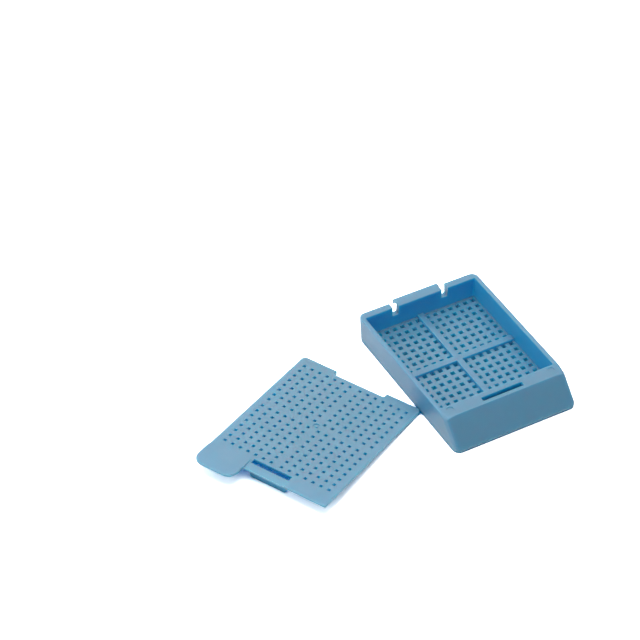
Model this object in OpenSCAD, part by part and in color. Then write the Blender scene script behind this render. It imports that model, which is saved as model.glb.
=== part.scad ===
// Tissue cassette for histology: a moulded tray with four perforated compartments and a
// sloping writing face, and its perforated lid, lifted off and lying beside the tray.
// Millimetres, +Z up. The origin is on the tray's flat underside, in the middle of its
// grid of holes. +X is the tray's right, the writing face looks towards -Y.

/* [Perforation] */
// Distance between neighbouring holes
pitch = 1.85; // [1.5:0.05:2.25]
// Number of hole columns across, an even number
columns = 14; // [10:2:14]
// Number of hole rows from front to rear, an even number
rows = 16; // [12:2:16]
// Extra distance across the middle, where the ribs run
rib_gap = 0.55; // [0.4:0.05:0.8]
// Side of a square hole in the tray floor
tray_hole = 0.95; // [0.6:0.05:1.1]
// Side of a square hole in the lid
lid_hole = 0.65; // [0.4:0.05:1]

/* [Tray] */
// Height of the rim above the underside
tray_h = 5.85; // [4.8:0.05:8]
// Thickness of the tray floor
floor_t = 0.8; // [0.6:0.05:1.2]
// Free floor between the outermost holes and the side walls
side_margin = 0.43; // [0.3:0.01:1]
// Free floor between the last row of holes and the rear wall
rear_margin = 0.7; // [0.4:0.05:1.2]
// Free floor between the first row of holes and the front wall
front_margin = 0.3; // [0.2:0.05:1]
// Thickness of the side walls
side_wall = 1.05; // [0.8:0.05:1.6]
// Thickness of the rear wall at its foot
rear_wall = 1; // [0.8:0.05:1.6]
// How far the rear wall thickens outwards up to its rim
rear_lean = 0.7; // [0:0.05:1]
// Plan radius of the tray's outer corners
corner_r = 1.5; // [0.5:0.1:2.5]
// Radius on both edges of the rim and along the writing face
rim_r = 0.2; // [0.1:0.05:0.3]
// Radius along the edges of the underside
foot_r = 0.45; // [0.2:0.05:0.6]
// Width of the cross ribs between the compartments
rib_w = 1.4; // [0.8:0.05:1.6]
// Height of the cross ribs above the floor
rib_h = 0.6; // [0.3:0.05:1.5]

/* [Writing face] */
// Thickness of the ledge, the writing face and the wall behind them
face_wall = 1; // [0.8:0.05:1.4]
// Depth of the level ledge in front of the latch slot
ledge_lip = 0.8; // [0.65:0.05:2]
// Distance that the writing face runs forwards as it falls
face_run = 4.83; // [4:0.01:6]
// Height of the upright lip below the writing face
lip_h = 0.75; // [0.5:0.05:1.5]
// Thickness of the ledge between the latch slot and the wall behind it
slot_setback = 0.35; // [0.3:0.05:0.6]
// Radius of the shallow round marks on the ledge
mark_r = 0.83; // [0.4:0.01:1]
// Distance from a side wall's inner face to the middle of the mark beside it
mark_in = 1.33; // [1.1:0.01:3]
// Depth of the round marks on the ledge and the lid
mark_d = 0.1; // [0.05:0.01:0.2]

/* [Rear tongue] */
// Width of the spring tongue in the rear wall
tongue_w = 10.4; // [8:0.1:12.5]
// Width of the slit on each side of the tongue
slit_w = 1.5; // [1:0.05:2]
// Depth of the slits below the rim
slit_d = 2.3; // [1:0.05:3]
// Radius at the mouth of each slit
mouth_r = 0.1; // [0.1:0.05:0.6]
// How far the lip stands out behind the tongue
tongue_lip = 0.8; // [0.4:0.05:1]
// Height of the lip's root on the tongue
lip_root = 0.4; // [0.3:0.05:0.6]
// Height of the lip's hooked outer edge
lip_nose = 1.1; // [0.8:0.05:1.4]
// How far the lip reaches past each side of the tongue
lip_over = 0.15; // [0.1:0.05:0.6]

/* [Lid] */
// Thickness of the lid plate
lid_t = 0.7; // [0.5:0.05:1]
// How far the closed lid's front edge would stand past the ledge
lid_overhang = 0.35; // [0:0.05:0.6]
// Distance from the tongue's front face to the edge of the lid's rear notch
notch_back = 0.3; // [0:0.05:0.5]
// Clearance between the notch and each end of the tongue's lip
notch_gap = 0.65; // [0.2:0.05:1]
// How far the closed lid's ears would stop short of the rear rim
ear_inset = 0.2; // [0:0.05:0.5]
// Radius of the lid's rear corners
ear_r = 1; // [0.4:0.1:1.5]
// Distance that the grip tab reaches in front of the lid
tab_reach = 4.1; // [2.5:0.1:6]
// Width of the grip tab
tab_w = 9.55; // [6:0.05:9.6]
// How far the grip tab bulges past the lid's side
tab_bulge = 0.2; // [0:0.05:0.5]
// Corner radius of the grip tab
tab_r = 2.3; // [1:0.1:3]
// Radius of the shallow mark in the middle of the lid
gate_mark_r = 0.75; // [0.5:0.05:0.85]
// Radius of the moulding gate's stub, which stands in that mark
gate_r = 0.3; // [0.1:0.05:0.4]

/* [Latch] */
// Width of the latch flap at its root
flap_w = 9.2; // [6:0.1:9.2]
// Thickness of the latch flap
flap_t = 0.6; // [0.4:0.05:0.8]
// Height of the latch flap below the lid plate
flap_h = 2.5; // [2.4:0.1:4]
// How much narrower the flap is at each end of its tip
flap_taper = 0.6; // [0:0.05:1.5]
// How far the flap's barb stands rearwards
barb = 0.35; // [0.25:0.05:0.4]
// Width of the slot in the lid behind the flap
window_w = 8.9; // [6:0.1:9.2]
// Depth of that slot from front to rear
window_d = 1.15; // [0.8:0.05:1.15]
// How far the top of the bridge falls to its front edge
bridge_fall = 0.3; // [0:0.05:0.4]
// Radius in the corner between the bridge and the grip tab
bridge_r = 0.5; // [0.2:0.1:1]
// Clearance at each end of the flap in the tray's slot
latch_gap = 0.15; // [0.1:0.05:0.3]
// Clearance in front of and behind the flap in the tray's slot
latch_play = 0.2; // [0.1:0.05:0.2]

/* [Lid beside the tray] */
// Clearance between the lid's rear corner and the tray's left wall
lid_away = 0.2; // [0.2:0.05:5]
// Where that corner lies along the tray, from the middle of the holes
lid_along = -8.6; // [-12:0.1:8]
// Turn of the lid on the surface, clockwise seen from above
lid_turn = 62.5; // [30:0.5:80]

/* [Hidden] */
$fn = 64;
eps = 0.02;       // how far a cut runs past the face that it opens
small_r = 0.3;    // plan radius inside the tray and at the small corners
nose_r = 0.1;     // round on the hooked edge of the tongue's lip

// Hole grid
half_cols = columns / 2;
half_rows = rows / 2;
first_hole = (pitch + rib_gap) / 2;
last_x = first_hole + (half_cols - 1) * pitch;
last_y = first_hole + (half_rows - 1) * pitch;

// Tray and latch, as distances from the middle of the holes. The tray's latch slot and the
// lid's window both follow the flap, and the ledge reaches in front of the slot.
in_x = last_x + tray_hole / 2 + side_margin;
in_rear = last_y + tray_hole / 2 + rear_margin;
in_front = last_y + tray_hole / 2 + front_margin;
half_w = in_x + side_wall;
rear_foot = in_rear + rear_wall;
rear_rim = rear_foot + rear_lean;
roof_z = tray_h - face_wall;
face_angle = atan2(tray_h - lip_h, face_run);
tongue_half = tongue_w / 2;
edge_half = tongue_half + lip_over;
mark_x = in_x - mark_in;
slot_rear = in_front + face_wall + slot_setback;
flap_rear = slot_rear + latch_play;
flap_front = flap_rear + flap_t;
slot_front = flap_front + latch_play;
slot_half = flap_w / 2 + latch_gap;
ledge_front = slot_front + ledge_lip;
front_y = ledge_front + face_run;
tip_half = flap_w / 2 - flap_taper;
barb_z = face_wall + latch_play;

// Lid, in a frame of its own whose zero height is the plate's underside
lid_front = ledge_front + lid_overhang;
lid_rear = rear_rim - ear_inset;
notch_y = in_rear + notch_back;
notch_half = edge_half + notch_gap;
tab_x = -half_w - tab_bulge;
tab_side = tab_x + tab_w;
tab_front = lid_front + tab_reach;

// The lid lies on the tip of its flap and on the rear edge of its ears
lid_tilt = atan2(flap_h, lid_rear + flap_rear);
pivot_x = half_w - ear_r;
pivot_y = lid_rear - ear_r;
pivot_z = ear_r * sin(lid_tilt);

// The arc that eases corner b of the path a, b, c to radius r
function arc(a, b, c, r) =
    let (u = (a - b) / norm(a - b), v = (c - b) / norm(c - b), half = acos(u * v) / 2,
         centre = b + (u + v) / norm(u + v) * r / sin(half), turn = 180 - 2 * half,
         from = b + u * r / tan(half) - centre, to = b + v * r / tan(half) - centre,
         steps = max(2, ceil(turn / 15)))
    [for (i = [0:steps])
        centre + (from * sin(turn * (1 - i / steps)) + to * sin(turn * i / steps)) / sin(turn)];

// An outline whose corners are eased, each to its own radius
function eased(path, radii) =
    let (n = len(path))
    [for (i = [0:n - 1])
        each radii[i] > 0 ? arc(path[(i + n - 1) % n], path[i], path[(i + 1) % n], radii[i]) : [path[i]]];

// The quarter round that leads from an upright wall onto a level top, towards side
function quarter(wall, top, r, side) =
    [for (a = [0:15:90]) [wall + side * r * (1 - cos(a)), top - r * (1 - sin(a))]];
function reversed(path) = [for (i = [len(path) - 1:-1:0]) path[i]];

function both(half) = [for (i = [-half:half]) if (i != 0) i];
function grid_at(i) = sign(i) * (first_hole + (abs(i) - 1) * pitch);

// A rectangle with four round corners
module rounded(x0, x1, y0, y1, r) {
    translate([x0 + r, y0]) square([x1 - x0 - 2 * r, y1 - y0]);
    translate([x0, y0 + r]) square([x1 - x0, y1 - y0 - 2 * r]);
    for (x = [x0 + r, x1 - r], y = [y0 + r, y1 - r]) translate([x, y]) circle(r);
}

// The square holes, with no holes where the ribs run
module hole_grid(side) {
    for (i = both(half_cols), j = both(half_rows))
        translate([grid_at(i), grid_at(j)]) square(side, center = true);
}

// An outline in Y and Z, drawn out along X to both sides
module along_x(half) {
    translate([-half, 0, 0]) rotate([90, 0, 90]) linear_extrude(2 * half) children();
}

// An outline in X and Z, drawn out along Y from y0 to y1
module along_y(y0, y1) {
    translate([0, y1, 0]) rotate([90, 0, 0]) linear_extrude(y1 - y0) children();
}

// The tray's outside: its plan, cut to its profiles seen from the side and from the front
module tray_block() {
    intersection() {
        linear_extrude(tray_h) rounded(-half_w, half_w, -front_y, rear_rim, corner_r);
        along_x(half_w + 1) polygon(eased([
            [-front_y, 0], [rear_foot, 0], [rear_rim, tray_h],
            [-ledge_front, tray_h], [-front_y, lip_h]
        ], [min(foot_r, lip_h / 2), foot_r, rim_r, rim_r, rim_r]));
        along_y(-front_y - 1, rear_rim + 1) polygon(eased([
            [-half_w, 0], [half_w, 0], [half_w, tray_h], [-half_w, tray_h]
        ], [foot_r, foot_r, rim_r, rim_r]));
    }
}

// The inside of the tray, flared by the round on the rim's inner edges
module tray_inside() {
    top = tray_h + 1;
    translate([0, 0, floor_t]) linear_extrude(tray_h)
        rounded(-in_x, in_x, -in_front, in_rear, small_r);
    along_x(in_x - small_r) polygon(concat(
        [[-in_front - rim_r, top]], reversed(quarter(-in_front, tray_h, rim_r, -1)),
        quarter(in_rear, tray_h, rim_r, 1), [[in_rear + rim_r, top]]));
    along_y(small_r - in_front, in_rear - small_r) polygon(concat(
        [[-in_x - rim_r, top]], reversed(quarter(-in_x, tray_h, rim_r, -1)),
        quarter(in_x, tray_h, rim_r, 1), [[in_x + rim_r, top]]));
}

// The hollow behind the writing face, open below
module face_hollow() {
    rear_y = in_front + face_wall;
    roof_y = ledge_front + face_wall / tan(face_angle) - face_wall / sin(face_angle);
    lip_y = front_y - face_wall;
    lip_z = roof_z - (lip_y - roof_y) * tan(face_angle);
    along_x(in_x) polygon([
        [-rear_y, -eps], [-rear_y, roof_z], [-roof_y, roof_z], [-lip_y, lip_z], [-lip_y, -eps]
    ]);
}

// The slot in the ledge that takes the lid's latch flap
module latch_slot() {
    translate([-slot_half, -slot_front, roof_z - eps])
        cube([2 * slot_half, slot_front - slot_rear, face_wall + 2 * eps]);
}

// The slit on the tongue's right, round at its bottom corners and its mouth
module slit() {
    slit_x = tongue_half + slit_w;
    along_y(in_rear - eps, rear_rim + eps) {
        rounded(tongue_half, slit_x, tray_h - slit_d, tray_h + 1, small_r);
        polygon(concat(
            [[tongue_half - mouth_r, tray_h + 1]],
            reversed(quarter(tongue_half, tray_h, mouth_r, -1)),
            quarter(slit_x, tray_h, mouth_r, 1), [[slit_x + mouth_r, tray_h + 1]]));
    }
}

// The lip along the top of the tongue's rear face, with an outer edge that hooks downwards
module tongue_edge() {
    along_x(edge_half) polygon(eased([
        [rear_rim - tongue_lip / 2, tray_h], [rear_rim + tongue_lip, tray_h],
        [rear_rim + tongue_lip, tray_h - lip_nose], [rear_rim + 0.6 * tongue_lip, tray_h - lip_nose],
        [rear_rim + 0.1 * tongue_lip, tray_h - lip_root], [rear_rim - tongue_lip / 2, tray_h - lip_root]
    ], [0, rim_r, nose_r, nose_r, 0, 0]));
}

// The low ribs that part the four compartments
module ribs() {
    translate([-in_x - eps, -rib_w / 2, floor_t - eps])
        cube([2 * (in_x + eps), rib_w, rib_h + eps]);
    translate([-rib_w / 2, -in_front - eps, floor_t - eps])
        cube([rib_w, in_front + in_rear + 2 * eps, rib_h + eps]);
}

module tray() {
    color("#84aec9") {
        difference() {
            tray_block();
            tray_inside();
            translate([0, 0, -eps]) linear_extrude(floor_t + 2 * eps) hole_grid(tray_hole);
            face_hollow();
            latch_slot();
            slit();
            mirror([1, 0, 0]) slit();
            for (x = [-mark_x, mark_x])
                translate([x, -slot_rear, tray_h - mark_d]) cylinder(r = mark_r, h = 1);
        }
        ribs();
        tongue_edge();
    }
}

// The round inner corner that joins the bridge over the flap to the grip tab
module bridge_corner() {
    translate([tab_side - eps, -lid_front - bridge_r]) difference() {
        square([bridge_r + eps, bridge_r + eps]);
        translate([bridge_r + eps, 0]) circle(bridge_r);
    }
}

// The lid plate's outline, with its rear ears and notch, grip tab and window
module lid_outline() {
    difference() {
        union() {
            rounded(-half_w, half_w, -lid_front, in_rear, small_r);
            rounded(-half_w, half_w, -in_front, lid_rear, ear_r);
            rounded(tab_x, tab_side, -tab_front, -in_front, tab_r);
        }
        translate([-notch_half, notch_y]) square([2 * notch_half, lid_rear]);
        translate([-window_w / 2, -flap_rear]) square([window_w, window_d]);
        hole_grid(lid_hole);
    }
    bridge_corner();
}

// The wedge off the top of the bridge, between the grip tab and the flap's right end
module bridge_slope() {
    translate([tab_side, 0, 0]) rotate([90, 0, 90]) linear_extrude(flap_w / 2 - tab_side)
        polygon([
            [-in_front, lid_t], [-lid_front - bridge_r, lid_t - bridge_fall],
            [-lid_front - bridge_r, lid_t + 1], [-in_front, lid_t + 1]
        ]);
}

// The round mark in the middle of the lid, with the gate's stub standing in it
module gate_mark() {
    translate([0, 0, lid_t - mark_d]) linear_extrude(1) difference() {
        circle(gate_mark_r);
        circle(gate_r);
    }
}

// The flap under the bridge: narrower at its tip, with a barb along its rear, below the
// window, that catches under the tray's ledge
module latch_flap() {
    intersection() {
        along_x(flap_w / 2) polygon([
            [-flap_front, eps], [-flap_front, -flap_h], [-flap_rear, -flap_h],
            [-flap_rear + barb, -barb_z - barb], [-flap_rear, -barb_z], [-flap_rear, eps]
        ]);
        translate([0, eps - flap_rear + barb, 0]) rotate([90, 0, 0]) linear_extrude(flap_t + barb + 2 * eps)
            polygon([
                [-flap_w / 2, eps], [-flap_w / 2, -flap_h / 2], [-tip_half, -flap_h],
                [tip_half, -flap_h], [flap_w / 2, -flap_h / 2], [flap_w / 2, eps]
            ]);
    }
}

module lid() {
    color("#84aec9")
        translate([-half_w - lid_away - ear_r, lid_along, pivot_z]) rotate([0, 0, -lid_turn])
            rotate([-lid_tilt, 0, 0]) translate([-pivot_x, -pivot_y, 0]) {
                difference() {
                    linear_extrude(lid_t) lid_outline();
                    gate_mark();
                    bridge_slope();
                }
                latch_flap();
            }
}

tray();
lid();
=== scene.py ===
"""Looks of a tissue cassette for histology: a moulded acetal tray and its lid.

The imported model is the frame. Tray and lid are each built again here with the rounds,
fillets and eased hole edges of a real moulding, in the place that the frame gives them.
Lengths are worked out in millimetres and end up in metres.
"""
from math import atan2, ceil, cos, pi, radians, sin, sqrt, tan
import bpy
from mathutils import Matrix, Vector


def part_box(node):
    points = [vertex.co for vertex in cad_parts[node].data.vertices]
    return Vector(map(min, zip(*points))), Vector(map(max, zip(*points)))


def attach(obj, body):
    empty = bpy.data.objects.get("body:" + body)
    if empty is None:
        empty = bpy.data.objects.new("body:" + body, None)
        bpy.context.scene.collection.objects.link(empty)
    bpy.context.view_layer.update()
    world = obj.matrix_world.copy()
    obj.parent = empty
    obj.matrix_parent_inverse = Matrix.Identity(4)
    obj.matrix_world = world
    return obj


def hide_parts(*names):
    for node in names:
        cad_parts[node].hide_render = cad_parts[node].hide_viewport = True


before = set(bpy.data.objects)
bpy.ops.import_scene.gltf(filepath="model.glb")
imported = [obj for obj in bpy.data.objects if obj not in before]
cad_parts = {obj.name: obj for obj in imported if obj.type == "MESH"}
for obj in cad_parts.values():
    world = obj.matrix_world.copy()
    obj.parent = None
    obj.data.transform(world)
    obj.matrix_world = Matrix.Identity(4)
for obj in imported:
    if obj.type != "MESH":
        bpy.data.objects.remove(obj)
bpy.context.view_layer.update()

from types import SimpleNamespace

import bmesh
import bpy
from bpy.props import FloatProperty, FloatVectorProperty, IntProperty, PointerProperty
from bpy.types import Operator, Panel, PropertyGroup
from mathutils import Matrix, Vector

bl_info = {
    "name": "Tissue cassette",
    "version": (1, 0),
    "blender": (4, 5, 0),
    "location": "3D View > Sidebar > Cassette",
    "description": "Builds a perforated cassette tray, its lid and a plain studio around them",
    "category": "Add Mesh",
}

MM = 0.001
X, Z = Vector((1, 0, 0)), Vector((0, 0, 1))

# Lengths in mm that the building needs and the finished part doesn't show
PAST = 0.02  # how far a cutter runs past the face that it opens
CLEAR = 1.0  # how far a cutter stands out into the open
BURIED = 0.3  # how far inside a wall an added body ends or a flare starts
SHY = 0.002  # how far two cutters keep out of each other's faces
SUNK = 0.004  # how far the foot of a fillet sits below the face that it runs out on
LEAST_R = 0.002  # the smallest radius of an eased corner
SAME = 0.0005  # the distance at which two vertices are one

# Angles between faces, and parts of a face's normal
FLAT = radians(0.4)  # faces that meet at less than this are one flat face
SHARP = radians(32)  # faces that meet at more than this keep a sharp edge
UPRIGHT = 0.6  # a face is upright if its normal rises or falls by less than this
FORWARDS = -0.6  # a face looks forwards if its normal's y is below this

# Skins that the mould leaves: width and height of the grain in mm, roughness on top of the
# general one, and gloss. Real grain is 0.02 to 0.05 mm wide and too fine to show, so each of
# these is drawn as coarse as it needs to be to soften the light on a face.
SATIN = {"grain": 0.22, "bump": 0.004, "rougher": 0.0, "gloss": 1.0}
SATIN_PLATE = {"grain": 0.22, "bump": 0.004, "rougher": 0.02, "gloss": 1.0}
CORE_SIDE = {"grain": 0.3, "bump": 0.002, "rougher": -0.1, "gloss": 0.45}
FROSTED = {"grain": 0.16, "bump": 0.012, "rougher": 0.12, "gloss": 0.55}

CLOUD = 6  # width of a cloud of pigment, in mm
THIN, DENSE = -0.03, 0.05  # roughness where the pigment lies thin and where it lies dense
TRAVEL = (0.02, 0.9, 1.0)  # how far red, green and blue light travel: the pigment takes the red

# How far the paper looks for plastic around and above it, in mm, and how open it is where its
# painted tone starts and ends its change: painted shade at the foot of a hole, and painted light
# under the raised lid
HOLE_REACH, HOLE_OPEN = 1.2, (0.42, 0.5)
LID_REACH, LID_OPEN = 30, (0.15, 0.21)
AROUND = 1.5  # brightness of the paper as gloss and clear bodies show it
FLOOR_HALF, FLOOR_DROP = 2.0, 0.00002  # half width of the floor, and its depth below, in m

# Each lamp's name, the property that holds its power, its place and its width in m
LAMPS = (("overhead_lamp", "key", (-0.05, 0.0, 1.0), 0.8),
         ("rear_lamp", "rear", (0.15, 0.8, 0.5), 0.6),
         ("left_lamp", "side", (-0.8, 0.1, 0.45), 0.4))


def length(name, default, description):
    """A length property, with its default given in millimetres."""
    return FloatProperty(name=name, description=description, default=default * MM, min=0.0,
                         precision=5, unit="LENGTH")


def angle(name, default, description):
    """An angle property, with its default given in degrees."""
    return FloatProperty(name=name, description=description, default=radians(default),
                         unit="ROTATION")


def share(name, default, description, top=1.0):
    """A plain number from 0 to top."""
    return FloatProperty(name=name, description=description, default=default, min=0.0, max=top)


def count(name, default, description):
    """A number of holes."""
    return IntProperty(name=name, description=description, default=default, min=2, max=40)


def linear(code):
    """The linear colour of an sRGB hex value."""
    parts = [int(code.lstrip("#")[i:i + 2], 16) / 255 for i in (0, 2, 4)]
    return [p / 12.92 if p <= 0.04045 else ((p + 0.055) / 1.055) ** 2.4 for p in parts]


def colour(name, code, description):
    """A colour property, with its default given as an sRGB hex value."""
    return FloatVectorProperty(name=name, description=description, default=linear(code),
                               min=0.0, max=1.0, size=3, subtype="COLOR")


class CassetteGrid(PropertyGroup):
    """The holes that tray and lid share."""
    pitch: length("Pitch", 1.85, "Distance between neighbouring holes")
    columns: count("Columns", 14, "Holes from side to side")
    rows: count("Rows", 16, "Holes from front to rear")
    rib_gap: length("Rib gap", 0.55, "Extra distance across the middle, where the ribs run")
    tray_hole: length("Tray hole", 0.95, "Side of a hole in the tray floor")
    lid_hole: length("Lid hole", 0.65, "Side of a hole in the lid")
    hole_corner: length("Hole corner", 0.06, "Radius in the corners of a hole")
    tray_hole_edge: length("Tray hole edge", 0.05, "Round on the upper edges of a tray hole")
    lid_hole_edge: length("Lid hole edge", 0.02, "Round on the upper edges of a lid hole")
    tray_hole_draft: length("Tray hole draft", 0.15,
                            "How much narrower a tray hole is on each side at its foot")
    lid_hole_draft: length("Lid hole draft", 0.06,
                           "How much narrower a lid hole is on each side at its foot")


class CassetteTray(PropertyGroup):
    """The tray, apart from what its frame gives."""
    floor_t: length("Floor", 0.8, "Thickness of the floor")
    side_wall: length("Side wall", 1.05, "Thickness of the side walls")
    rear_margin: length("Rear margin", 0.7,
                        "Floor between the last row of holes and the rear wall")
    front_margin: length("Front margin", 0.3,
                         "Floor between the first row of holes and the front wall")
    rear_wall: length("Rear wall", 1.0, "Thickness of the rear wall at its foot")
    rear_lean: length("Rear lean", 0.7, "How far the rear wall thickens outwards up to its rim")
    corner_r: length("Corners", 1.5, "Plan radius of the outer corners")
    inner_r: length("Inner corners", 0.3, "Corner radius inside, in the hollow and in the slits")
    rim_r: length("Rim round", 0.2,
                  "Round on the edges of the rim and along the top of the writing face")
    face_side_r: length("Face side round", 1.0,
                        "Round between the writing face and the side walls")
    face_turn: length("Face turn", 2.5,
                      "Distance from a corner of the writing face to the fine round of the rim")
    foot_r: length("Foot round", 0.45, "Round along the underside")
    fillet: length("Floor fillet", 0.1, "Fillet between floor and walls")
    rib_w: length("Rib width", 1.4, "Width of the cross ribs")
    rib_h: length("Rib height", 0.6, "Height of the cross ribs")
    rib_r: length("Rib round", 0.12, "Round along the top of the ribs")
    rib_fillet: length("Rib fillet", 0.05, "Fillet along the foot of the ribs")
    face_wall: length("Face wall", 1.0, "Thickness of the ledge and the writing face")
    face_run: length("Face run", 4.83, "How far the writing face runs forwards as it falls")
    face_lip: length("Face lip", 0.75, "Height of the upright lip below the writing face")
    hollow_edge: length("Hollow edge", 0.15, "Round on the lower edge of the hollow")
    slot_half: length("Slot half width", 4.75, "Half the width of the latch slot")
    slot_rear: length("Slot rear", 16.275, "Rear edge of the latch slot, in front of the middle")
    slot_depth: length("Slot depth", 1.0, "Depth of the latch slot from front to rear")
    slot_r: length("Slot corners", 0.12, "Corner radius of the latch slot")
    slot_edge: length("Slot edge", 0.1, "Round on the upper and lower edges of the latch slot")
    mark_x: length("Mark place", 11.877, "Distance of each ejector mark from the middle")
    mark_r: length("Mark radius", 0.83, "Radius of an ejector mark")
    mark_d: length("Mark depth", 0.15, "Depth of an ejector mark")
    mark_fillet: length("Mark fillet", 0.02, "Fillet around the foot of an ejector mark")
    mark_edge: length("Mark edge", 0.03, "Round on the edge of an ejector mark")
    tongue_half: length("Tongue half width", 5.2, "Half the width of the spring tongue")
    slit_w: length("Slit width", 1.5, "Width of the slits beside the tongue")
    slit_d: length("Slit depth", 2.3, "Depth of the slits below the rim")
    slit_edge: length("Slit edge", 0.05, "Round on the inner edges of a slit")
    slit_flare: length("Slit flare", 0.4,
                       "Round on the rear edges of a slit, at its foot and on the tongue")
    mouth_r: length("Slit mouth", 0.1, "Radius at the mouth of a slit")
    lip_over: length("Lip overhang", 0.15, "How far the tongue's lip reaches past its sides")
    lip_root: length("Lip root", 0.4, "Height of the lip's root on the tongue")
    lip_nose: length("Lip nose", 1.1, "Height of the lip's hooked outer edge")
    lip_hook: length("Lip hook", 0.3, "Depth of that hooked edge from front to rear")
    lip_end_r: length("Lip end round", 0.12, "Round on the two ends of the lip")


class CassetteLid(PropertyGroup):
    """The lid, in a frame of its own whose zero height is the plate's underside."""
    lid_t: length("Plate", 0.7, "Thickness of the plate")
    front: length("Front", 18.425, "Front edge, in front of the middle")
    front_r: length("Front corner", 0.4, "Radius of the front corner that has no tab")
    rear: length("Rear", 16.825, "Rear edge of the ears, behind the middle")
    notch_y: length("Notch", 15.625, "Edge of the rear notch, behind the middle")
    notch_half: length("Notch half width", 6.0, "Half the width of the rear notch")
    notch_mouth_r: length("Notch mouth", 0.3, "Corner radius at the mouth of the notch")
    notch_r: length("Notch corners", 0.25, "Corner radius inside the notch")
    ear_r: length("Ears", 1.0, "Radius of the rear corners")
    edge_r: length("Plate round", 0.16, "Round along the edges of the plate")
    tab_x: length("Tab side", 14.455, "Left side of the grip tab, left of the middle")
    tab_side: length("Tab right side", 4.905, "Right side of the grip tab, left of the middle")
    tab_front: length("Tab front", 22.525, "Front edge of the grip tab")
    tab_r: length("Tab corners", 2.3, "Corner radius of the grip tab")
    bulge_run: length("Bulge run", 0.9, "Distance along the side in which the tab swells out")
    bulge_r: length("Bulge round", 1.0, "Radius at both ends of that swelling")
    bridge_fall: length("Bridge fall", 0.3,
                        "How far the top of the bridge falls, to the front end of its corner")
    bridge_r: length("Bridge corner", 0.5, "Radius in the corner between bridge and tab")
    window_half: length("Window half width", 4.45, "Half the width of the slot behind the flap")
    window_d: length("Window depth", 1.15, "Depth of that slot from front to rear")
    window_r: length("Window corners", 0.12, "Corner radius of that slot")
    window_edge: length("Window edge", 0.1, "Round on the upper and lower edges of that slot")
    flap_half: length("Flap half width", 4.6, "Half the width of the latch flap")
    flap_rear: length("Flap rear", 16.475, "Rear face of the flap, in front of the middle")
    flap_t: length("Flap thickness", 0.6, "Thickness of the flap")
    flap_h: length("Flap height", 2.5, "Height of the flap below the plate")
    flap_taper: length("Flap taper", 0.6, "How much narrower the flap is at each end of its tip")
    flap_r: length("Flap corners", 0.3, "Corner radius of the flap")
    flap_edge: length("Flap edge", 0.12, "Round along the edges of the flap")
    barb: length("Barb", 0.35, "How far the flap's barb stands rearwards")
    barb_z: length("Barb height", 1.2, "Depth of the barb below the plate")
    mark_r: length("Gate mark", 0.75, "Radius of the mark in the middle of the lid")
    mark_d: length("Gate mark depth", 0.15, "Depth of that mark")
    mark_fillet: length("Gate mark fillet", 0.02, "Fillet around the foot of that mark")
    mark_edge: length("Gate mark edge", 0.05, "Round on the edge of that mark")
    gate_r: length("Gate stub", 0.3, "Radius of the gate's stub in the mark")
    gate_edge: length("Gate stub edge", 0.05, "Round on the edge of the stub")
    turn: angle("Turn", 62.5, "Turn of the lid on the surface, clockwise seen from above")


class CassetteFinish(PropertyGroup):
    """The moulded acetal."""
    tray_tint: colour("Tray tint", "#5290b2", "Colour of the tray's acetal")
    # Painted light: the lid's tint is paler than the tray's, standing in for light through the
    # thin plate
    lid_tint: colour("Lid tint", "#5e98b6",
                     "Colour of the lid's acetal, paler because the plate is thin")
    # Painted shade: a deeper blue tint for the upright faces inside the openings, which stand in
    # shade
    core_shade_tint: colour("Core side tint", "#3c96c4",
                      "Colour of the deep faces that the mould's core made")
    clouding: share("Clouding", 0.07,
                    "How much darker the plastic is where its pigment lies denser")
    tray_scatter: length("Tray scatter", 3.5,
                         "How far blue light travels in from the tray's outer faces")
    core_scatter: length("Core side scatter", 5.0,
                         "How far blue light travels in from the core side")
    lid_scatter: length("Lid scatter", 2.5, "How far blue light travels in the lid's plate")
    scatter_share: share("Scatter share", 1.0, "Share of the light that enters the plastic")
    roughness: share("Roughness", 0.46, "Roughness of the moulded skin")


class CassetteStage(PropertyGroup):
    """Camera, lamps and floor."""
    aim: FloatVectorProperty(name="Aim", description="Point on the floor that the camera looks at",
                             default=(-0.018625, 0.025019, 0.0), size=3, subtype="XYZ",
                             unit="LENGTH")
    azimuth: angle("Azimuth", -29.07,
                   "Side that the camera stands on, from the front towards the right")
    elevation: angle("Elevation", 42.18, "Height of the camera above the horizon")
    roll: angle("Roll", 0.213, "Turn of the camera about its own line of sight")
    distance: length("Distance", 501.36, "Distance of the camera from its aim")
    lens: length("Lens", 134.06, "Focal length on a sensor 36 mm wide")
    floor: colour("Floor", "#f2f2f0", "Colour of the paper on the floor")
    # Painted shade: the dark blue shown at the foot of a hole stands in for the shade there
    painted_hole_shade: colour("Floor in holes", "#1787c4", "Colour of the paper at the foot of a hole")
    # Painted light: the blue shown under the raised lid stands in for light through the plastic
    painted_lid_glow: colour("Floor under lid", "#1895e7",
                      "Colour of the paper under the raised lid, lit through it")
    paper_gain: share("Paper gain", 2.5,
                      "How much brighter than its colour the paper is shown, so that it is white",
                      5.0)
    key: share("Overhead lamp", 6.0, "Power of the large lamp overhead", 50.0)
    rear: share("Rear lamp", 1.6, "Power of the lamp behind, which shines through the walls",
                50.0)
    side: share("Left lamp", 1.85, "Power of the lamp on the left", 50.0)
    rear_fill: share("Rear fill", 0.35, "Strength of the room's light from the rear", 5.0)
    front_fill: share("Front fill", 0.42, "Strength of the room's light from the front", 5.0)


def in_mm(group):
    """A property group's values under their own names, lengths in millimetres."""
    found = SimpleNamespace()
    for key, kind in group.bl_rna.properties.items():
        if key not in ("rna_type", "name"):
            value = getattr(group, key)
            one_length = getattr(kind, "unit", "") == "LENGTH" and kind.array_length == 0
            setattr(found, key, value / MM if one_length else value)
    return found


# Outlines and bodies

def quarter_turn(steps=6):
    """Angles from zero to a right angle."""
    return [pi / 2 * k / steps for k in range(steps + 1)]


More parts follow.
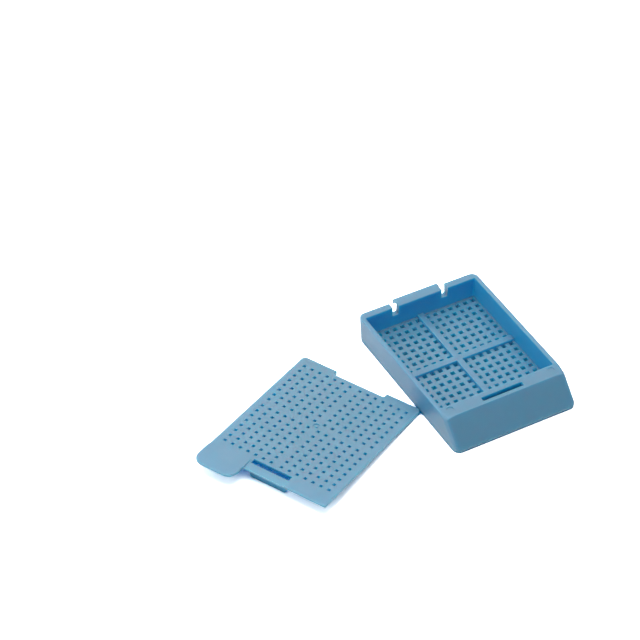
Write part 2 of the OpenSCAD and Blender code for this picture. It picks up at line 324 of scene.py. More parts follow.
def eased(corners, offset=0.0, per_turn=6):
    """An anticlockwise outline whose corners (x, y, radius) are rounded, moved outwards by
    offset."""
    ring = []
    for i, (x, y, radius) in enumerate(corners):
        here = Vector((x, y))
        before, after = Vector(corners[i - 1][:2]), Vector(corners[(i + 1) % len(corners)][:2])
        u, v = (here - before).normalized(), (after - here).normalized()
        turn = atan2(u.x * v.y - u.y * v.x, u.dot(v))
        side = 1 if turn > 0 else -1
        normal = Vector((u.y, -u.x))
        mitre = (normal + Vector((v.y, -v.x))) / (1 + u.dot(v))
        # The centre lies on the mitre, its radius away from both of the moved edges
        r = max(radius + side * offset, LEAST_R)
        centre = here + mitre * (offset - side * r)
        steps = max(1, ceil(abs(turn) / (pi / 2) * per_turn)) if radius else 1
        for k in range(steps + 1):
            a = turn * k / steps
            ring.append(centre + side * r * Vector((normal.x * cos(a) - normal.y * sin(a),
                                                    normal.x * sin(a) + normal.y * cos(a))))
    return ring


def box_corners(x0, x1, y0, y1, r):
    """The corners of a rectangle, to be rounded to radius r."""
    return [(x0, y0, r), (x1, y0, r), (x1, y1, r), (x0, y1, r)]


def disc_corners(x, y, r):
    """The corners of a square around (x, y), to be rounded to a circle of radius r."""
    return box_corners(x - r, x + r, y - r, y + r, r)


def levels(low, high, ease_low, ease_high, steps=4):
    """Positions and outline offsets from low to high: a positive ease flares a cutter's end, a
    negative one rounds a body's end."""
    def end(at, ease, inwards):
        if not ease:
            return [(at, 0.0)]
        sign, r = (1 if ease > 0 else -1), abs(ease)
        # A quarter round inwards from the end, and for a cutter a step past the face
        rows = [(at + inwards * r * (1 - sin(a)), sign * r * (1 - cos(a)))
                for a in quarter_turn(steps)[::-1]]
        return [(at - inwards * PAST, ease)] + rows if ease > 0 else rows
    return end(low, ease_low, 1) + end(high, ease_high, -1)[::-1]


def closed(name, faces_of):
    """A new object from bmesh work, with its faces turned outwards."""
    work = bmesh.new()
    faces_of(work)
    bmesh.ops.recalc_face_normals(work, faces=work.faces)
    mesh = bpy.data.meshes.new(name)
    work.to_mesh(mesh)
    work.free()
    piece = bpy.data.objects.new(name, mesh)
    bpy.context.scene.collection.objects.link(piece)
    return piece


def drawn(name, corners, at, along="Z", per_turn=6):
    """A body drawn along an axis: one eased outline at each (position, offset), joined and
    capped."""
    place = {"X": lambda u, v, t: (t, u, v), "Y": lambda u, v, t: (u, t, v),
             "Z": lambda u, v, t: (u, v, t)}[along]

    def faces(work):
        rings = [[work.verts.new(place(p.x, p.y, t)) for p in eased(corners, offset, per_turn)]
                 for t, offset in at]
        for low, high in zip(rings, rings[1:]):
            for i in range(len(low)):
                work.faces.new((low[i - 1], low[i], high[i], high[i - 1]))
        work.faces.new(rings[0])
        work.faces.new(rings[-1])
    return closed(name, faces)


def wrapped(name, points):
    """The convex body around the points, with its flat faces merged."""
    def faces(work):
        for p in points:
            work.verts.new(p)
        found = bmesh.ops.convex_hull(work, input=work.verts)
        inside = [g for g in found["geom_interior"] if isinstance(g, bmesh.types.BMVert)]
        bmesh.ops.delete(work, geom=inside, context="VERTS")
        bmesh.ops.dissolve_limit(work, angle_limit=FLAT, verts=work.verts, edges=work.edges)
    return closed(name, faces)


def baked(piece):
    """Replaces the piece's mesh by what its modifiers make of it."""
    whole = piece.evaluated_get(bpy.context.evaluated_depsgraph_get())
    made = bpy.data.meshes.new_from_object(whole)
    piece.modifiers.clear()
    piece.data = made


def combined(piece, others, operation):
    """Cuts the others from the piece or joins them to it, and removes them."""
    for other in others:
        step = piece.modifiers.new(other.name, "BOOLEAN")
        step.operation, step.solver, step.object = operation, "MANIFOLD", other
    baked(piece)
    for other in others:
        bpy.data.objects.remove(other)


# Node trees

def add(tree, kind, inputs=None, **settings):
    """Adds a node with its settings, and sets or links its inputs by name or number."""
    made = tree.nodes.new(kind)
    for key, value in settings.items():
        setattr(made, key, value)
    for key, value in (inputs or {}).items():
        if isinstance(value, bpy.types.NodeSocket):
            tree.links.new(value, made.inputs[key])
        else:
            made.inputs[key].default_value = value
    return made


def emptied(owner):
    """The node tree of a new material or world, without the nodes that it comes with."""
    owner.use_nodes = True
    owner.node_tree.nodes.clear()
    return owner.node_tree


def perforation_tree():
    """Geometry nodes that punch a grid of holes, which a rib gap parts into four fields."""
    tree = bpy.data.node_groups.new("Perforation", "GeometryNodeTree")
    tree.is_modifier = True
    face = tree.interface
    face.new_socket("Geometry", in_out="OUTPUT", socket_type="NodeSocketGeometry")
    for name, kind in (("Geometry", "Geometry"), ("Hole cutter", "Object"), ("Columns", "Int"),
                       ("Rows", "Int"), ("Pitch", "Float"), ("Rib gap", "Float"),
                       ("Material", "Material")):
        face.new_socket(name, in_out="INPUT", socket_type="NodeSocket" + kind)
    given = add(tree, "NodeGroupInput").outputs
    spans = []
    for number in ("Columns", "Rows"):
        gaps = add(tree, "ShaderNodeMath", {0: given[number], 1: 1.0}, operation="SUBTRACT")
        spans.append(add(tree, "ShaderNodeMath", {0: gaps.outputs[0], 1: given["Pitch"]},
                         operation="MULTIPLY"))
    grid = add(tree, "GeometryNodeMeshGrid", {
        "Size X": spans[0].outputs[0], "Size Y": spans[1].outputs[0],
        "Vertices X": given["Columns"], "Vertices Y": given["Rows"]})
    place = add(tree, "GeometryNodeInputPosition")
    side = add(tree, "ShaderNodeVectorMath", {0: place.outputs[0]}, operation="SIGN")
    half = add(tree, "ShaderNodeMath", {0: given["Rib gap"], 1: 0.5}, operation="MULTIPLY")
    shift = add(tree, "ShaderNodeVectorMath", {0: side.outputs[0], "Scale": half.outputs[0]},
                operation="SCALE")
    parted = add(tree, "GeometryNodeSetPosition", {
        "Geometry": grid.outputs[0], "Offset": shift.outputs[0]})
    cutter = add(tree, "GeometryNodeObjectInfo", {"Object": given["Hole cutter"]})
    holes = add(tree, "GeometryNodeInstanceOnPoints", {
        "Points": parted.outputs[0], "Instance": cutter.outputs["Geometry"]})
    real = add(tree, "GeometryNodeRealizeInstances", {0: holes.outputs[0]})
    punched = add(tree, "GeometryNodeMeshBoolean", {
        "Mesh 1": given["Geometry"], "Mesh 2": real.outputs[0]},
        operation="DIFFERENCE", solver="MANIFOLD")
    whole = add(tree, "GeometryNodeRealizeInstances", {0: punched.outputs[0]})
    finish = add(tree, "GeometryNodeSetMaterial", {
        "Geometry": whole.outputs[0], "Material": given["Material"]})
    add(tree, "NodeGroupOutput", {0: finish.outputs[0]})
    return tree


def perforated(piece, hole, edge, draft, thickness, material):
    """Punches the cassette's grid of holes through the piece."""
    grid = in_mm(bpy.context.scene.cassette_grid)
    outline = box_corners(-hole / 2, hole / 2, -hole / 2, hole / 2, grid.hole_corner)
    cutter = drawn("hole_cutter", outline,
                   [(-PAST, -draft)] + levels(0, thickness, 0, edge, steps=3)[1:], per_turn=2)
    punch = piece.modifiers.new("Perforation", "NODES")
    punch.node_group = bpy.data.node_groups.get("Perforation") or perforation_tree()
    given = {"Hole cutter": cutter, "Columns": grid.columns, "Rows": grid.rows,
             "Pitch": grid.pitch, "Rib gap": grid.rib_gap, "Material": material}
    for socket in punch.node_group.interface.items_tree:
        if socket.name in given:
            punch[socket.identifier] = given[socket.name]
    baked(piece)
    bpy.data.objects.remove(cutter)


def moulded_acetal(name, tint, scatter, skin):
    """Pigmented acetal straight from the mould, which light enters: lit faces look milky and
    pale, and shaded ones glow a deeper blue."""
    finish = bpy.context.scene.cassette_finish
    material = bpy.data.materials.new(name)
    tree = emptied(material)
    place = add(tree, "ShaderNodeTexCoord").outputs["Object"]
    # Pigment that flowed in clouds a few millimetres wide, so that the tone drifts on each face
    clouds = add(tree, "ShaderNodeTexNoise", {
        "Vector": place, "Scale": 1 / (CLOUD * MM), "Detail": 3.0, "Roughness": 0.5})
    dense = [c * (1 - finish.clouding) for c in tint]
    body = add(tree, "ShaderNodeMix", {
        "Factor": clouds.outputs["Fac"], "A": (*tint, 1), "B": (*dense, 1)}, data_type="RGBA")
    # Grain that the mould's skin pressed in, which spreads the highlights
    grain = add(tree, "ShaderNodeTexNoise", {
        "Vector": place, "Scale": 1 / (skin["grain"] * MM), "Detail": 2.0, "Roughness": 0.6})
    height = add(tree, "ShaderNodeBump", {
        "Height": grain.outputs["Fac"], "Distance": skin["bump"] * MM, "Strength": 1.0})
    rough = add(tree, "ShaderNodeMapRange", {
        "Value": clouds.outputs["Fac"], "From Min": 0.3, "From Max": 0.7,
        "To Min": finish.roughness + THIN + skin["rougher"],
        "To Max": finish.roughness + DENSE + skin["rougher"]})
    shell = add(tree, "ShaderNodeBsdfPrincipled", {
        "Base Color": body.outputs["Result"], "Roughness": rough.outputs["Result"],
        "IOR": 1.55, "Normal": height.outputs["Normal"],
        "Subsurface Weight": finish.scatter_share, "Subsurface Radius": TRAVEL,
        "Subsurface Scale": scatter, "Specular IOR Level": skin["gloss"]})
    add(tree, "ShaderNodeOutputMaterial", {"Surface": shell.outputs[0]})
    return material


def smoothed(piece):
    """Shades the rounds smooth and keeps the flats flat."""
    work = bmesh.new()
    work.from_mesh(piece.data)
    bmesh.ops.remove_doubles(work, verts=work.verts, dist=SAME)
    for edge in work.edges:
        edge.smooth = edge.is_manifold and edge.calc_face_angle(pi) < SHARP
    for face in work.faces:
        face.smooth = True
    work.to_mesh(piece.data)
    work.free()
    weights = piece.modifiers.new("Weighted normals", "WEIGHTED_NORMAL")
    weights.keep_sharp, weights.weight = True, 50
    baked(piece)


def finished(piece, finishes, openings):
    """Gives the piece its finishes: the first one all over, and the second, of the mould's core
    side and with painted shade in a deeper blue, on the upright faces inside the openings
    (x0, x1, y0, y1)."""
    piece.data.materials.clear()
    for finish in finishes:
        piece.data.materials.append(finish)
    for face in piece.data.polygons:
        x, y, _ = face.center
        face.material_index = int(abs(face.normal.z) < UPRIGHT and any(
            x0 - PAST < x < x1 + PAST and y0 - PAST < y < y1 + PAST
            for x0, x1, y0, y1 in openings))


def settled(piece, node):
    """Scales the finished mesh to metres, gives it its name, hangs it under the root body and
    hides its CAD node."""
    piece.data.transform(Matrix.Scale(MM, 4))
    piece.name = node + "_moulding"
    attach(piece, "root")
    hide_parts(node)


# The tray

def tray_plan():
    """The tray's sizes in millimetres, with what the frame gives and what follows from both."""
    grid = in_mm(bpy.context.scene.cassette_grid)
    tray = in_mm(bpy.context.scene.cassette_tray)
    low, high = (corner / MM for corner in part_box("tray"))
    tray.half_w, tray.front_y, tray.tray_h, tray.lip_y = high.x, -low.y, high.z, high.y
    tray.in_x = tray.half_w - tray.side_wall
    first_row = (grid.pitch + grid.rib_gap) / 2
    last_y = first_row + (grid.rows / 2 - 1) * grid.pitch + grid.tray_hole / 2
    tray.in_rear, tray.in_front = last_y + tray.rear_margin, last_y + tray.front_margin
    tray.rear_foot = tray.in_rear + tray.rear_wall
    tray.rear_rim = tray.rear_foot + tray.rear_lean
    tray.ledge_front = tray.front_y - tray.face_run
    tray.roof_z = tray.tray_h - tray.face_wall
    tray.face_angle = atan2(tray.tray_h - tray.face_lip, tray.face_run)
    tray.slot_front = tray.slot_rear + tray.slot_depth
    return tray


def tray_block(tray):
    """The tray's outside as one convex body, every edge of it eased."""
    face_normal = Vector((0, -sin(tray.face_angle), cos(tray.face_angle)))
    foot = min(tray.foot_r, tray.face_lip / 2)
    points = []

    def round_between(centre, r, start, end, steps=5):
        """Adds the points of an arc that turns from one direction to the other."""
        whole = start.angle(end)
        for k in range(steps + 1):
            a = whole * k / steps
            points.append(centre + r * (start * sin(whole - a) + end * sin(a)) / sin(whole))

    for side in (-1, 1):
        axis_x = side * (tray.half_w - tray.corner_r)
        for a in quarter_turn():
            # A rear corner, with the round of the rim and that of the underside
            out = Vector((side * cos(a), sin(a), 0))
            for z, r, up in ((tray.tray_h - tray.rim_r, tray.rim_r, Z),
                             (tray.foot_r, tray.foot_r, -Z)):
                rear = tray.rear_foot + tray.rear_lean * z / tray.tray_h
                axis = Vector((axis_x, rear - tray.corner_r, z))
                round_between(axis + (tray.corner_r - r) * out, r, out, up)
            # A front corner, with the round of the underside and that of the writing face
            out = Vector((side * cos(a), -sin(a), 0))
            axis = Vector((axis_x, tray.corner_r - tray.front_y, foot))
            round_between(axis + (tray.corner_r - foot) * out, foot, out, -Z)
            r = tray.rim_r + (tray.face_side_r - tray.rim_r) * cos(a)
            top = axis + (tray.corner_r - r) * out
            # Its centre lies its radius below the writing face
            fall = (r + face_normal.y * (top.y + tray.ledge_front)) / face_normal.z
            top.z = tray.tray_h - fall
            round_between(top, r, out, face_normal)
        # Where rim, side and writing face meet: a soft corner between the fine rounds of rim
        # and ledge
        for r, inwards, rearwards in ((tray.face_side_r, 0, 0), (tray.rim_r, tray.face_turn, 0),
                                      (tray.rim_r, 0, tray.face_turn)):
            bend = r * tan(tray.face_angle / 2) - tray.ledge_front
            tip = Vector((side * (tray.half_w - r - inwards), bend + rearwards, tray.tray_h - r))
            steps = 4
            for k in range(steps + 1):
                a = tray.face_angle * k / steps
                round_between(tip, r, side * X, Vector((0, -sin(a), cos(a))))
    return wrapped("tray", points)


def slit_cutters(tray, side):
    """A slit beside the tongue: the slit, the flare of its rear edges and its rounded mouth."""
    near, far = side * tray.tongue_half, side * (tray.tongue_half + tray.slit_w)
    foot, above = tray.tray_h - tray.slit_d, tray.tray_h + CLEAR
    # The outside of the leaning wall at the foot of the slit
    sill = tray.rear_foot + tray.rear_lean * foot / tray.tray_h
    cutters = []
    for name, end, shy, wall in (
            ("slit", far, 0, levels(tray.in_rear, sill, tray.slit_edge, 0)),
            ("slit_flare", far - side * tray.slit_flare, SHY,
             levels(tray.in_rear + BURIED, sill, 0, tray.slit_flare))):
        wall[-1] = (tray.rear_rim + CLEAR, wall[-1][1])
        x0, x1 = sorted((near + side * shy, end))
        outline = box_corners(x0, x1, foot + shy, above, tray.inner_r)
        cutters.append(drawn(name, outline, wall, "Y"))
    left, right = sorted((near, far))
    r, bend = tray.mouth_r, tray.tray_h - tray.mouth_r
    outline = [(right + r * (1 - cos(a)), bend + r * sin(a), 0) for a in quarter_turn()]
    outline += [(right + r, above, 0), (left - r, above, 0)]
    outline += [(left - r * (1 - cos(a)), bend + r * sin(a), 0) for a in quarter_turn()[::-1]]
    cutters.append(drawn("slit_mouth", outline,
                         [(tray.in_rear - CLEAR, 0), (tray.rear_rim + CLEAR, 0)], "Y"))
    return cutters


def tray_cutters(tray):
    """What is taken from the tray's block."""
    slope_x = (tray.ledge_front + tray.face_wall / tan(tray.face_angle)
               - tray.face_wall / sin(tray.face_angle))
    lip_y = tray.front_y - tray.face_wall
    lip_z = tray.roof_z - (lip_y - slope_x) * tan(tray.face_angle)
    rear_y = tray.in_front + tray.face_wall
    hollow = [(-lip_y, -CLEAR, 0), (-rear_y, -CLEAR, 0), (-rear_y, tray.roof_z, tray.inner_r),
              (-slope_x, tray.roof_z, tray.inner_r), (-lip_y, lip_z, tray.inner_r)]
    cutters = [
        drawn("inside", box_corners(-tray.in_x, tray.in_x, -tray.in_front, tray.in_rear,
                                    tray.inner_r),
              levels(tray.floor_t, tray.tray_h, -tray.fillet, tray.rim_r)),
        drawn("face_hollow", hollow, [(-tray.in_x, 0), (tray.in_x, 0)], "X"),
        # Its flared foot rounds the edge, and its top squares the hollow's corner by the lip
        drawn("hollow_edge", box_corners(-tray.in_x, tray.in_x, -lip_y, -rear_y, tray.inner_r),
              levels(0, 4 * tray.hollow_edge, tray.hollow_edge, 0)),
        drawn("latch_slot", box_corners(-tray.slot_half, tray.slot_half, -tray.slot_front,
                                        -tray.slot_rear, tray.slot_r),
              levels(tray.roof_z, tray.tray_h, tray.slot_edge, tray.slot_edge)),
    ]
    for side in (-1, 1):
        cutters.append(drawn(
            "ejector_mark", disc_corners(side * tray.mark_x, -tray.slot_rear, tray.mark_r),
            levels(tray.tray_h - tray.mark_d, tray.tray_h, -tray.mark_fillet, tray.mark_edge),
            per_turn=10))
        cutters += slit_cutters(tray, side)
    return cutters


def tray_additions(tray):
    """The two cross ribs with their foot fillets, and the hooked lip behind the tongue."""
    def rib(name, low, high, along):
        """A rib that ends inside two walls."""
        half, fillet = tray.rib_w / 2, tray.rib_fillet
        foot, top = tray.floor_t - SUNK, tray.floor_t + tray.rib_h
        outline = [(-half - fillet, foot - BURIED, 0), (half + fillet, foot - BURIED, 0),
                   (half + fillet, foot, 0), (half, foot, fillet), (half, top, tray.rib_r),
                   (-half, top, tray.rib_r), (-half, foot, fillet), (-half - fillet, foot, 0)]
        return drawn(name, outline, [(low - BURIED, 0), (high + BURIED, 0)], along)

    # The lip's root covers the round of the rim, and its underside steps down to the hook
    root, out, top = tray.rear_rim - 2 * tray.rim_r, tray.lip_y, tray.tray_h
    under_r, nose_r, outer_r = 0.1, 0.15, 0.25
    lip = [(root, top - tray.lip_root, 0),
           (tray.rear_rim + under_r, top - tray.lip_root, under_r),
           (out - tray.lip_hook, top - tray.lip_nose, under_r),
           (out, top - tray.lip_nose, nose_r), (out, top, outer_r), (root, top, 0)]
    half = tray.tongue_half + tray.lip_over
    return [rib("cross_rib", -tray.in_x, tray.in_x, "X"),
            rib("long_rib", -tray.in_front, tray.in_rear, "Y"),
            drawn("tongue_lip", lip, levels(-half, half, -tray.lip_end_r, -tray.lip_end_r), "X")]


class CASSETTE_OT_tray(Operator):
    """Build the tray: block, compartments, writing face, latch slot, tongue and perforation"""
    bl_idname = "cassette.build_tray"
    bl_label = "Build tray"

    def execute(self, context):
        tray, grid = tray_plan(), in_mm(context.scene.cassette_grid)
        finish = context.scene.cassette_finish
        # Spark-eroded outer skin: satin, with soft wide highlights
        skin = moulded_acetal("moulded_acetal_tray", finish.tray_tint, finish.tray_scatter, SATIN)
        # Deep faces that the core made: smoother, with a stronger blue partly from the light
        # inside and partly painted shade in their deeper tint
        core_and_shade = moulded_acetal("core_side_tray", finish.core_shade_tint, finish.core_scatter, CORE_SIDE)
        # Face that is written on: deeper grained and matt, so that a pencil takes
        frosted = moulded_acetal("frosted_writing_face", finish.tray_tint, finish.tray_scatter,
                                 FROSTED)
        piece = tray_block(tray)
        combined(piece, tray_cutters(tray), "DIFFERENCE")
        combined(piece, tray_additions(tray), "UNION")
        perforated(piece, grid.tray_hole, grid.tray_hole_edge, grid.tray_hole_draft,
                   tray.floor_t, skin)
        smoothed(piece)
        finished(piece, [skin, core_and_shade, frosted],
                 [(-tray.in_x, tray.in_x, -tray.in_front, tray.in_rear),
                  (-tray.slot_half, tray.slot_half, -tray.slot_front, -tray.slot_rear)])
        # The writing face and the lip below it
        for face in piece.data.polygons:
            if face.normal.y < FORWARDS and face.center.y < tray.face_wall - tray.ledge_front:
                face.material_index = 2
        settled(piece, "tray")
        return {"FINISHED"}


# The lid

def lid_corners(lid, half_w, in_front):
    """The lid's outline: ears, rear notch and grip tab."""
    bulge = lid.tab_x - half_w
    start = in_front + lid.tab_r - sqrt(lid.tab_r ** 2 - (lid.tab_r - bulge) ** 2)
    return [
        (-lid.tab_x, -lid.tab_front, lid.tab_r), (-lid.tab_side, -lid.tab_front, lid.tab_r),
        (-lid.tab_side, -lid.front, lid.bridge_r), (half_w, -lid.front, lid.front_r),
        (half_w, lid.rear, lid.ear_r), (lid.notch_half, lid.rear, lid.notch_mouth_r),
        (lid.notch_half, lid.notch_y, lid.notch_r), (-lid.notch_half, lid.notch_y, lid.notch_r),
        (-lid.notch_half, lid.rear, lid.notch_mouth_r), (-half_w, lid.rear, lid.ear_r),
        (-half_w, -start, lid.bulge_r), (-lid.tab_x, -start - lid.bulge_run, lid.bulge_r)]


def lid_cutters(lid, in_front):
    """The gate mark, the window behind the flap and the slope of the bridge's top."""
    window = box_corners(-lid.window_half, lid.window_half, -lid.flap_rear,
                         lid.window_d - lid.flap_rear, lid.window_r)
    tip = -lid.front - lid.bridge_r
    slope = [(-in_front, lid.lid_t, 0), (-in_front, lid.lid_t + CLEAR, 0),
             (tip, lid.lid_t + CLEAR, 0), (tip, lid.lid_t - lid.bridge_fall, 0)]
    return [drawn("gate_mark", disc_corners(0, 0, lid.mark_r),
                  levels(lid.lid_t - lid.mark_d, lid.lid_t, -lid.mark_fillet, lid.mark_edge),
                  per_turn=10),
            drawn("window", window, levels(0, lid.lid_t, lid.window_edge, lid.window_edge)),
            drawn("bridge_slope", slope, [(-lid.tab_side, 0), (lid.flap_half, 0)], "X")]


def lid_additions(lid):
    """The flap under the bridge, the barb along its rear, below the window, and the gate's
    stub."""
    root = 0.2  # how far flap and barb run into what carries them
    front, rear, middle = lid.flap_rear + lid.flap_t, lid.flap_rear, -lid.flap_h / 2
    wide, tip = lid.flap_half, lid.flap_half - lid.flap_taper
    flap = [(-tip, -lid.flap_h, lid.flap_r), (tip, -lid.flap_h, lid.flap_r),
            (wide, middle, lid.flap_r), (wide, root, 0), (-wide, root, 0),
            (-wide, middle, lid.flap_r)]
    # The barb's ramp starts a little above the flap's tip, and its upper face falls outwards
    ramp, fall, past_tip = 0.15, 0.08, 0.1
    nose_r, heel_r, end_r = 0.1, 0.05, 0.08
    barb = [(-rear - root, ramp - lid.flap_h, 0),
            (lid.barb - rear, -lid.barb_z - lid.barb, nose_r),
            (-rear, -lid.barb_z, heel_r), (-rear - root, fall - lid.barb_z, 0)]
    return [drawn("latch_flap", flap, levels(-front, -rear, -lid.flap_edge, -lid.flap_edge), "Y"),
            drawn("barb", barb, levels(-tip - past_tip, tip + past_tip, -end_r, -end_r), "X"),
            drawn("gate_stub", disc_corners(0, 0, lid.gate_r),
                  levels(lid.lid_t - BURIED, lid.lid_t, 0, -lid.gate_edge), per_turn=8)]


def laid_down(piece, lid):
    """Tips the lid onto its flap and ears, turns it and moves it to its CAD node's place."""
    tilt = atan2(lid.flap_h, lid.rear + lid.flap_rear)
    piece.data.transform(Matrix.Rotation(-lid.turn, 4, "Z") @ Matrix.Rotation(-tilt, 4, "X"))
    low, high = (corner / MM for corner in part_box("lid"))
    spans = [[v.co[i] for v in piece.data.vertices] for i in range(3)]
    middle = Vector(((min(span) + max(span)) / 2 for span in spans))
    piece.data.transform(Matrix.Translation((low + high) / 2 - middle))


class CASSETTE_OT_lid(Operator):
    """Build the lid: plate with ears, notch, grip tab and window, latch flap and perforation"""
    bl_idname = "cassette.build_lid"
    bl_label = "Build lid"

    def execute(self, context):
        tray, lid = tray_plan(), in_mm(context.scene.cassette_lid)
        grid, finish = in_mm(context.scene.cassette_grid), context.scene.cassette_finish
        # Spark-eroded skin over a thin plate: satin, and paler than the tray, painted light for
        # the light that passes through the thin plate
        skin = moulded_acetal("moulded_acetal_lid", finish.lid_tint, finish.lid_scatter,
                              SATIN_PLATE)
        # Walls of the holes and the window: smoother, and a stronger blue, painted shade in their
        # tint
        core_and_shade = moulded_acetal("core_side_lid", finish.core_shade_tint, finish.lid_scatter, CORE_SIDE)
        piece = drawn("lid", lid_corners(lid, tray.half_w, tray.in_front),
                      levels(0, lid.lid_t, -lid.edge_r, -lid.edge_r))
        combined(piece, lid_cutters(lid, tray.in_front), "DIFFERENCE")
        combined(piece, lid_additions(lid), "UNION")
        perforated(piece, grid.lid_hole, grid.lid_hole_edge, grid.lid_hole_draft, lid.lid_t, skin)
        smoothed(piece)
        step = 0.1  # how far the field of holes ends behind the line where the bridge starts
        finished(piece, [skin, core_and_shade],
                 [(-tray.in_x, tray.in_x, step - tray.in_front, tray.in_rear),
                  (-lid.flap_half, lid.flap_half, -lid.flap_rear - lid.flap_t,
                   lid.window_d - lid.flap_rear)])
        laid_down(piece, lid)
        settled(piece, "lid")
        return {"FINISHED"}


# The stage

def seen_directly(tree):
    """The camera's own rays, and all rays by which it sees, through gloss and clear bodies
    too."""
    seen = add(tree, "ShaderNodeLightPath").outputs
    direct = add(tree, "ShaderNodeMath", {0: seen["Is Camera Ray"], 1: seen["Is Glossy Ray"]},
                 operation="MAXIMUM")
    direct = add(tree, "ShaderNodeMath", {0: direct.outputs[0], 1: seen["Is Transmission Ray"]},
                 operation="MAXIMUM")
    return seen["Is Camera Ray"], direct.outputs[0]


def seamless_paper(stage):
    """Matt white paper. What is seen of it is white in the open, with painted shade, a dark blue,
    at the foot of a hole, where walls stand close around it, and painted light, a brighter blue
    for light through the plastic, under the raised lid, which covers it widely. To the light it is
    plain paper."""
    material = bpy.data.materials.new("seamless_paper")
    tree = emptied(material)
    camera_ray, direct = seen_directly(tree)
    plain = add(tree, "ShaderNodeBsdfDiffuse", {"Color": (*stage.floor, 1)})
    openness = []
    # Masks for the painted shade in holes and the painted light under the lid, from occlusion
    for reach, (covered, bare) in ((HOLE_REACH, HOLE_OPEN), (LID_REACH, LID_OPEN)):
        around = add(tree, "ShaderNodeAmbientOcclusion", {"Distance": reach * MM}, samples=16)
        openness.append(add(tree, "ShaderNodeMapRange", {
            "Value": around.outputs["AO"], "From Min": covered, "From Max": bare}))
    in_open = add(tree, "ShaderNodeMapRange", {
        "Value": camera_ray, "To Min": AROUND, "To Max": stage.paper_gain})
    # Painted light under the raised lid, as bright as the paper's gain makes it
    painted_lid_glow_tone = (*(c * stage.paper_gain for c in stage.painted_lid_glow), 1)
    tone = add(tree, "ShaderNodeMix", {
        "Factor": openness[1].outputs["Result"], "A": painted_lid_glow_tone, "B": in_open.outputs["Result"]},
        data_type="RGBA")
    # Painted shade at the foot of a hole
    tone = add(tree, "ShaderNodeMix", {
        "Factor": openness[0].outputs["Result"], "A": (*stage.painted_hole_shade, 1),
        "B": tone.outputs["Result"]}, data_type="RGBA")
    shown = add(tree, "ShaderNodeBsdfDiffuse", {"Color": tone.outputs["Result"]})
    mixed = add(tree, "ShaderNodeMixShader", {
        0: direct, 1: plain.outputs[0], 2: shown.outputs[0]})
    add(tree, "ShaderNodeOutputMaterial", {"Surface": mixed.outputs[0]})
    return material


def white_room(stage):
    """A room that is white to look at, and lights the scene softly from above the horizon."""
    world = bpy.data.worlds.new("white_room")
    tree = emptied(world)
    _, direct = seen_directly(tree)
    white = add(tree, "ShaderNodeBackground", {"Color": (1, 1, 1, 1), "Strength": 1.0})
    way = add(tree, "ShaderNodeSeparateXYZ", {
        0: add(tree, "ShaderNodeTexCoord").outputs["Generated"]})
    fill = add(tree, "ShaderNodeMapRange", {
        "Value": way.outputs["Y"], "From Min": -0.6, "From Max": 0.6,
        "To Min": stage.front_fill, "To Max": stage.rear_fill})
    height = add(tree, "ShaderNodeMapRange", {
        "Value": way.outputs["Z"], "From Min": 0.1, "From Max": 0.6})
    level = add(tree, "ShaderNodeMath", {0: fill.outputs["Result"], 1: height.outputs["Result"]},
                operation="MULTIPLY")
    light = add(tree, "ShaderNodeBackground", {
        "Color": (1, 1, 1, 1), "Strength": level.outputs[0]})
    mixed = add(tree, "ShaderNodeMixShader", {
        0: direct, 1: light.outputs[0], 2: white.outputs[0]})
    add(tree, "ShaderNodeOutputWorld", {"Surface": mixed.outputs[0]})
    return world


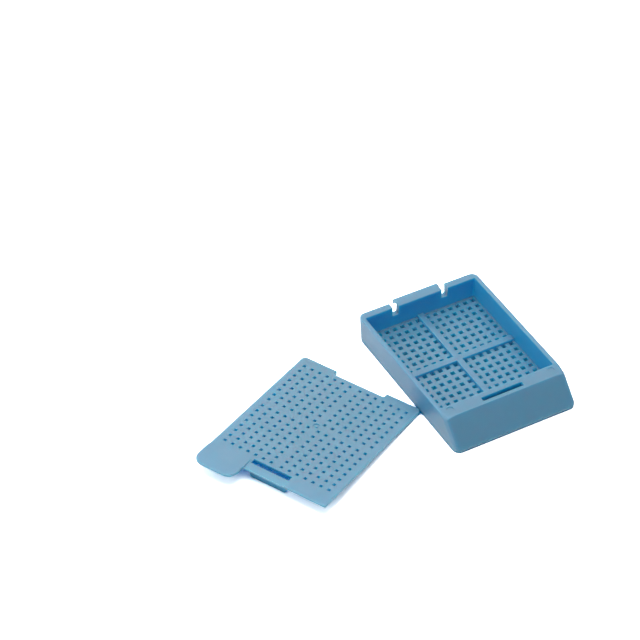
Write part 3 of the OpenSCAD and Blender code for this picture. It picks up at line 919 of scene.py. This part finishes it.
class CASSETTE_OT_stage(Operator):
    """Build the floor, the lamps, the white room and the camera"""
    bl_idname = "cassette.build_stage"
    bl_label = "Build stage"

    def execute(self, context):
        scene, stage = context.scene, context.scene.cassette_stage
        floor = closed("floor", lambda work: bmesh.ops.create_grid(
            work, x_segments=1, y_segments=1, size=FLOOR_HALF))
        floor.location.z = -FLOOR_DROP
        floor.data.materials.append(seamless_paper(stage))
        scene.world = white_room(stage)

        aim = Vector(stage.aim)
        for name, power, place, width in LAMPS:
            lamp = bpy.data.lights.new(name, "AREA")
            lamp.shape, lamp.size, lamp.energy = "DISK", width, getattr(stage, power)
            stand = bpy.data.objects.new(name, lamp)
            stand.location = place
            stand.rotation_euler = (aim - Vector(place)).to_track_quat("-Z", "Y").to_euler()
            scene.collection.objects.link(stand)

        camera = bpy.data.objects.new("camera", bpy.data.cameras.new("camera"))
        camera.data.lens, camera.data.sensor_width = stage.lens / MM, 36.0
        camera.data.clip_start, camera.data.clip_end = 0.01, 20.0
        back = Vector((sin(stage.azimuth) * cos(stage.elevation),
                       -cos(stage.azimuth) * cos(stage.elevation), sin(stage.elevation)))
        camera.location = aim + back * stage.distance
        sight = (-back).to_track_quat("-Z", "Y").to_matrix()
        camera.rotation_euler = (sight @ Matrix.Rotation(stage.roll, 3, "Z")).to_euler()
        scene.collection.objects.link(camera)
        scene.camera = camera
        scene.view_settings.view_transform = "Standard"
        return {"FINISHED"}


class CASSETTE_PT_panel(Panel):
    """Sizes, finish and builders of the cassette"""
    bl_idname = "CASSETTE_PT_panel"
    bl_label = "Tissue cassette"
    bl_space_type = "VIEW_3D"
    bl_region_type = "UI"
    bl_category = "Cassette"

    def draw(self, context):
        scene = context.scene
        for label, group, operator in (("Perforation", scene.cassette_grid, None),
                                       ("Tray", scene.cassette_tray, CASSETTE_OT_tray),
                                       ("Lid", scene.cassette_lid, CASSETTE_OT_lid),
                                       ("Finish", scene.cassette_finish, None),
                                       ("Stage", scene.cassette_stage, CASSETTE_OT_stage)):
            part = self.layout.box()
            part.label(text=label)
            for key in group.bl_rna.properties.keys():
                if key not in ("rna_type", "name"):
                    part.prop(group, key)
            if operator:
                part.operator(operator.bl_idname)


GROUPS = {"cassette_grid": CassetteGrid, "cassette_tray": CassetteTray,
          "cassette_lid": CassetteLid, "cassette_finish": CassetteFinish,
          "cassette_stage": CassetteStage}
OTHERS = (CASSETTE_OT_tray, CASSETTE_OT_lid, CASSETTE_OT_stage, CASSETTE_PT_panel)


def register():
    for key, group in GROUPS.items():
        bpy.utils.register_class(group)
        setattr(bpy.types.Scene, key, PointerProperty(type=group))
    for each in OTHERS:
        bpy.utils.register_class(each)


def unregister():
    for each in OTHERS:
        bpy.utils.unregister_class(each)
    for key, group in GROUPS.items():
        delattr(bpy.types.Scene, key)
        bpy.utils.unregister_class(group)


def main():
    """Builds tray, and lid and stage."""
    register()
    bpy.ops.cassette.build_tray()
    bpy.ops.cassette.build_lid()
    bpy.ops.cassette.build_stage()


if __name__ == "__main__":
    main()
